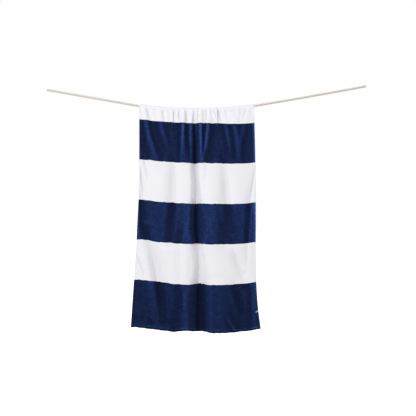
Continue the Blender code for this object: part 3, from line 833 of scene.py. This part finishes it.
def build_tab(sheet, finish):
    """A folded ribbon, sewn flat on the cloth near its right edge. Returns it and its seams."""
    middle, across, up, out = tab_place(sheet)
    path = ribbon_path()
    slope = np.gradient(path, axis=0)
    slope /= np.linalg.norm(slope, axis=1, keepdims=True)
    side = np.stack([slope[:, 1], -slope[:, 0]], axis=1)
    spots, thick = ribbon_section()
    heights = spots * TAB_HEIGHT / 2
    grids = []
    for sign in (-1, 1):
        flat = path[:, None, :] + sign * side[:, None, :] * thick[None, :, None]
        lift = heights[None, :, None] * up
        grids.append(middle + flat[..., :1] * across + flat[..., 1:] * out + lift)
    rows, columns = grids[0].shape[:2]
    count = rows * columns
    faces = [*grid_faces(rows, columns)[:, ::-1], *grid_faces(rows, columns, count)]
    number = np.arange(count).reshape(rows, columns)
    rim = np.concatenate([number[0], number[1:, -1], number[-1, -2::-1], number[-2:0:-1, 0]])
    after = np.roll(rim, -1)
    faces += list(np.stack([after, after + count, rim + count, rim], axis=1))
    tab = make_piece("ribbon_tab", np.concatenate([grid.reshape(-1, 3) for grid in grids]), faces)
    along = running_total(np.linalg.norm(np.diff(path, axis=0), axis=1))
    flat = np.stack(np.broadcast_arrays(along[:, None], heights), axis=-1)
    store_uv(tab, "ribbon", np.concatenate([flat.reshape(-1, 2)] * 2))
    tab.data.materials.append(finish)
    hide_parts("side_tab")
    top = middle + out * (path[-1, 1] + RIBBON_THICKNESS / 2)
    reach = up * TAB_HEIGHT * TAB_SEAM_REACH
    seams = []
    for place in (TAB_SEAM - TAB_LENGTH / 2, TAB_LENGTH / 2 - TAB_SEAM):
        line = top + across * place + np.array([-reach, reach])
        seams.append(Seam(line, np.array([out, out]), np.ones(2)))
    return tab, seams


# ---- finishes

NAVY = (0.0062, 0.0145, 0.056)
WHITE = (0.82, 0.82, 0.85)
NAP_TINT = (0.25, 0.42, 0.95)
PLAIN_WHITE = (1.0, 1.0, 1.0)
BROAD_SHARE = 0.25  # of the pile's mottling that is in broad patches
TUFT_MEDIUM = 0.8  # height of its medium patches, against that of its fine tufts
HEM_END = (0.55, 0.20)  # lengths from the front hem between which the pile darkens
TOP_STRIPE = (1.00, 1.25)  # and between which the highest stripe but one does

NATURAL = (0.96, 0.90, 0.78)
# painted shade in the grooves and between the yarns, and the colour of the flecks
NATURAL_SHADE_AND_FLECK = (0.09, 0.07, 0.035)
FIBRE_SCALE = (0.12, 1.0, 1.0)  # long along the line
FIBRE_HEIGHT = 1.6  # against a yarn's
# painted shade in the grooves between the strands
GROOVE_SHADE = 0.95
FLECK_SHADE = 0.15
YARN_SHADE = -0.06  # painted highlight and shade: lighter on a yarn, darker between two

RIBBON = (0.46, 0.51, 0.62)
RIBBON_DARK = (0.30, 0.34, 0.44)
RIBBON_WEFT = 0.0007  # from one thread to the next
RIBBON_WARP = 0.0005
SELVEDGE = (0.42, 0.46)  # where it starts and is full, as shares of the tab's height
WEAVE_SHADE = 0.12
WEAR_SHADE = 0.4
SELVEDGE_SHADE = -0.15  # it is lighter

NAVY_THREAD = (0.020, 0.036, 0.115)
WHITE_THREAD = (0.80, 0.80, 0.82)
THREAD_SHADE = 0.7  # painted shade: share of its own colour in the hollows of its twist

MIX_INPUTS = (0, 6, 7)  # the sockets of a Mix node's share and two colours
MIX_OUTPUT = 2


class Finish:
    """A material and short ways to add and join its nodes."""

    def __init__(self, name, roughness):
        self.material = bpy.data.materials.new(name)
        self.material.use_nodes = True
        self.tree = self.material.node_tree
        self.shader = self.tree.nodes["Principled BSDF"]
        self.set("Roughness", roughness)

    def set(self, name, value):
        """Sets or joins a socket of the shader itself."""
        self.put(self.shader.inputs[name], value)

    def add(self, kind, **inputs):
        """A node with its inputs set to numbers, colours or other nodes' outputs."""
        made = self.tree.nodes.new("ShaderNode" + kind)
        for name, value in inputs.items():
            self.put(made.inputs[name], value)
        return made

    def put(self, socket, value):
        if isinstance(value, bpy.types.NodeSocket):
            self.tree.links.new(value, socket)
        elif isinstance(value, tuple) and len(value) == 3 and len(socket.default_value) == 4:
            socket.default_value = (*value, 1.0)
        else:
            socket.default_value = value

    def math(self, operation, first, second=0.0):
        made = self.add("Math")
        made.operation = operation
        self.put(made.inputs[0], first)
        self.put(made.inputs[1], second)
        return made.outputs[0]

    def plus(self, first, second):
        return self.math("ADD", first, second)

    def times(self, first, second):
        return self.math("MULTIPLY", first, second)

    def mix(self, share, first, second):
        """The first colour at a share of 0, and the second at 1."""
        made = self.add("Mix")
        made.data_type = "RGBA"
        for socket, value in zip(MIX_INPUTS, (share, first, second)):
            self.put(made.inputs[socket], value)
        return made.outputs[MIX_OUTPUT]

    def noise(self, where, scale, detail=2.0):
        return self.add("TexNoise", Vector=where, Scale=scale, Detail=detail).outputs[0]

    def ramp(self, value, low, high):
        """0 at low and 1 at high."""
        inputs = {"Value": value, "From Min": low, "From Max": high}
        return self.add("MapRange", **inputs).outputs["Result"]

    def attribute(self, name):
        made = self.add("Attribute")
        made.attribute_name = name
        return made.outputs["Fac"]

    def uv(self, name):
        made = self.add("UVMap")
        made.uv_map = name
        return made.outputs["UV"]

    def bump(self, height, strength, distance):
        made = self.add("Bump", Height=height, Strength=strength, Distance=distance)
        self.set("Normal", made.outputs["Normal"])


class Pile(NamedTuple):
    """A stripe's cotton pile. What makes it lighter or darker is in stops."""

    name: str
    colour: tuple
    ridge: float  # painted highlight: lighter by this on a sharp ridge
    trough_shade: float  # painted shade: darker by this in a sharp trough
    hollow_shade: float  # painted shade: darker by this at the bottom of a deep fold
    mottling: float
    hem_end: float  # darker by this near the front hem
    top_stripe: float  # and by this in the highest stripe but one
    sheen: float
    sheen_tint: tuple
    sheen_roughness: float
    tuft_height: float


def towelling(pile):
    """Cotton pile with fine tufts and a sheen, mottled where it is brushed up and down, with painted
    highlights on ridges and edges and painted shade in troughs and deep folds.
    """
    finish = Finish(pile.name, roughness=0.95)
    where = finish.uv("flat")
    broad = finish.noise(where, scale=34.0)
    medium = finish.noise(where, scale=120.0, detail=3.0)
    fine = finish.noise(where, scale=420.0)
    brushed = finish.plus(finish.times(broad, BROAD_SHARE), finish.times(medium, 1 - BROAD_SHARE))
    stops = finish.times(finish.plus(brushed, -0.5), pile.mottling)
    painted_light = finish.attribute("painted_light")
    length = finish.add("SeparateXYZ", Vector=where).outputs["Y"]
    # painted highlight on ridges, hem seams and the right edge, painted shade in troughs and deep
    # folds, then darker near the front hem and in the highest stripe but one
    for value, weight in (
        (finish.math("MAXIMUM", painted_light, 0.0), pile.ridge),
        (finish.math("MINIMUM", painted_light, 0.0), pile.trough_shade),
        (finish.attribute("hollow_shade"), -pile.hollow_shade),
        (finish.ramp(length, *HEM_END), -pile.hem_end),
        (finish.ramp(length, *TOP_STRIPE), -pile.top_stripe),
    ):
        stops = finish.plus(stops, finish.times(value, weight))
    tinted = finish.add("VectorMath")
    tinted.operation = "SCALE"
    finish.put(tinted.inputs[0], pile.colour)
    finish.put(tinted.inputs["Scale"], finish.math("POWER", 2.0, stops))
    finish.set("Base Color", tinted.outputs["Vector"])
    finish.set("Specular IOR Level", 0.1)
    finish.set("Sheen Weight", pile.sheen)
    finish.set("Sheen Roughness", pile.sheen_roughness)
    finish.set("Sheen Tint", pile.sheen_tint)
    tufts = finish.plus(fine, finish.times(medium, TUFT_MEDIUM))
    finish.bump(tufts, strength=0.6, distance=pile.tuft_height)
    return finish.material


PILES = (
    Pile("navy_velour", NAVY, 3.4, 1.6, 1.3, 4.5, 0.40, 0.25, 0.35, NAP_TINT, 0.30, 0.0006),
    Pile("white_velour", WHITE, 0.0, 0.42, 0.08, 0.12, 0.0, 0.0, 0.05, PLAIN_WHITE, 0.4, 0.0006),
    Pile("navy_loops", NAVY, 1.4, 1.0, 0.6, 3.0, 0.0, 0.0, 0.20, NAP_TINT, 0.5, 0.0012),
    Pile("white_loops", WHITE, 0.02, 0.10, 0.30, 0.12, 0.0, 0.0, 0.05, PLAIN_WHITE, 0.5, 0.0012),
)


def rope_finish():
    """Natural fibre: yarns along the line, painted shade in the grooves and between the yarns, and
    loose flecks.
    """
    finish = Finish("natural_rope", roughness=0.85)
    turns = finish.add("SeparateXYZ", Vector=finish.uv("lay")).outputs["Y"]
    ridge = finish.math("SINE", finish.times(turns, 2 * math.pi * ROPE_YARNS))
    place = finish.add("TexCoord").outputs["Object"]
    stretched = finish.add("Mapping", Vector=place, Scale=FIBRE_SCALE).outputs["Vector"]
    fibres = finish.noise(stretched, scale=1400.0)
    flecks = finish.ramp(finish.noise(place, scale=130.0, detail=3.0), low=0.5, high=0.8)
    # painted shade in the grooves between the strands and between the yarns; the flecks are the
    # fibre's own
    painted_shade = finish.ramp(finish.attribute("groove"), low=0.4, high=0.7)
    shade = finish.plus(finish.times(painted_shade, GROOVE_SHADE), finish.times(flecks, FLECK_SHADE))
    shade = finish.plus(shade, finish.times(ridge, YARN_SHADE))
    finish.set("Base Color", finish.mix(shade, NATURAL, NATURAL_SHADE_AND_FLECK))
    finish.set("Specular IOR Level", 0.2)
    height = finish.plus(ridge, finish.times(fibres, FIBRE_HEIGHT))
    finish.bump(height, strength=0.3, distance=0.0004)
    return finish.material


def thread_finish(name, colour):
    """Spun cotton thread, its twist a little uneven, with painted shade in the hollows of the twist.
    """
    finish = Finish(name, roughness=0.7)
    twist = finish.noise(finish.add("TexCoord").outputs["Object"], scale=900.0)
    # painted shade in the hollows of the twist
    painted_shade = tuple(share * THREAD_SHADE for share in colour)
    finish.set("Base Color", finish.mix(twist, painted_shade, colour))
    finish.bump(twist, strength=0.5, distance=0.0001)
    return finish.material


def ribbon_finish():
    """Plain woven ribbon: fine ribs across it and closer threads at both selvedges."""
    finish = Finish("woven_ribbon", roughness=0.65)
    parts = finish.add("SeparateXYZ", Vector=finish.uv("ribbon")).outputs
    weft = finish.math("SINE", finish.times(parts["X"], 2 * math.pi / RIBBON_WEFT))
    warp = finish.math("SINE", finish.times(parts["Y"], 2 * math.pi / RIBBON_WARP))
    weave = finish.times(weft, warp)
    start, full = (TAB_HEIGHT * share for share in SELVEDGE)
    selvedge = finish.ramp(finish.math("ABSOLUTE", parts["Y"]), start, full)
    worn = finish.noise(finish.add("TexCoord").outputs["Object"], scale=350.0)
    shade = finish.plus(finish.times(weave, WEAVE_SHADE), finish.times(worn, WEAR_SHADE))
    shade = finish.plus(shade, finish.times(selvedge, SELVEDGE_SHADE))
    finish.set("Base Color", finish.mix(shade, RIBBON, RIBBON_DARK))
    finish.set("Sheen Weight", 0.15)
    finish.bump(finish.plus(weave, selvedge), strength=0.6, distance=0.00008)
    return finish.material


# ---- stage

FLOOR_HEIGHT = -1.95
FLOOR_SIZE = 60.0
FLOOR_PLACE = 1.0  # of its middle along the line
FLOOR_GREY = (0.9, 0.9, 0.9)
FILL = 0.42  # brightness of the surroundings, as a share of white
KEY_POWER = 600.0  # watts
KEY_SIZE = 2.6
KEY_PLACE = (-1.2, -8.4, 2.4)
KEY_TARGET = (1.0, 0.0, -0.8)


def add_floor():
    """White all over, with no light, shade or reflection of its own on the towel."""
    bpy.ops.mesh.primitive_plane_add(size=FLOOR_SIZE, location=(FLOOR_PLACE, 0, FLOOR_HEIGHT))
    floor = bpy.context.object
    floor.name = "floor"
    finish = Finish("white_floor", roughness=1.0)
    finish.set("Base Color", FLOOR_GREY)
    finish.set("Specular IOR Level", 0.0)
    finish.set("Emission Color", PLAIN_WHITE)
    finish.set("Emission Strength", 1.0)
    floor.data.materials.append(finish.material)
    floor.visible_diffuse = False
    floor.visible_glossy = False
    floor.visible_shadow = False


def add_light():
    """Even surroundings, white to the eye, and one large soft light from the left front."""
    world = bpy.data.worlds.new("surroundings")
    bpy.context.scene.world = world
    world.use_nodes = True
    tree = world.node_tree
    background = tree.nodes["Background"]
    background.inputs["Color"].default_value = (*PLAIN_WHITE, 1.0)
    ray = tree.nodes.new("ShaderNodeLightPath")
    brightness = tree.nodes.new("ShaderNodeMapRange")
    brightness.inputs["To Min"].default_value = FILL
    brightness.inputs["To Max"].default_value = 1.0
    tree.links.new(ray.outputs["Is Camera Ray"], brightness.inputs["Value"])
    tree.links.new(brightness.outputs["Result"], background.inputs["Strength"])
    data = bpy.data.lights.new("key", "AREA")
    data.energy = KEY_POWER
    data.size = KEY_SIZE
    key = bpy.data.objects.new("key", data)
    key.location = KEY_PLACE
    aim = Vector(KEY_TARGET) - Vector(KEY_PLACE)
    key.rotation_euler = aim.to_track_quat("-Z", "Y").to_euler()
    bpy.context.scene.collection.objects.link(key)
    bpy.context.scene.view_settings.view_transform = "Standard"
    bpy.context.scene.view_settings.look = "None"


# ---- all together

add_camera()
rope = build_rope(rope_finish())
towel, sheet = build_towel([towelling(pile) for pile in PILES])
threads = [thread_finish("navy_thread", NAVY_THREAD), thread_finish("white_thread", WHITE_THREAD)]
end_seams = towel_seams(sheet, rows=(SEAM_LINE, -1 - SEAM_LINE), columns=())
side_seams = towel_seams(sheet, rows=(), columns=(SEAM_LINE, -1 - SEAM_LINE))
end_stitches = build_stitches("end_hem_stitches", end_seams, threads)
side_stitches = build_stitches("side_hem_stitches", side_seams, threads)
tab, tab_seams = build_tab(sheet, ribbon_finish())
tab_stitches = build_stitches("tab_stitches", tab_seams, threads)
add_floor()
add_light()
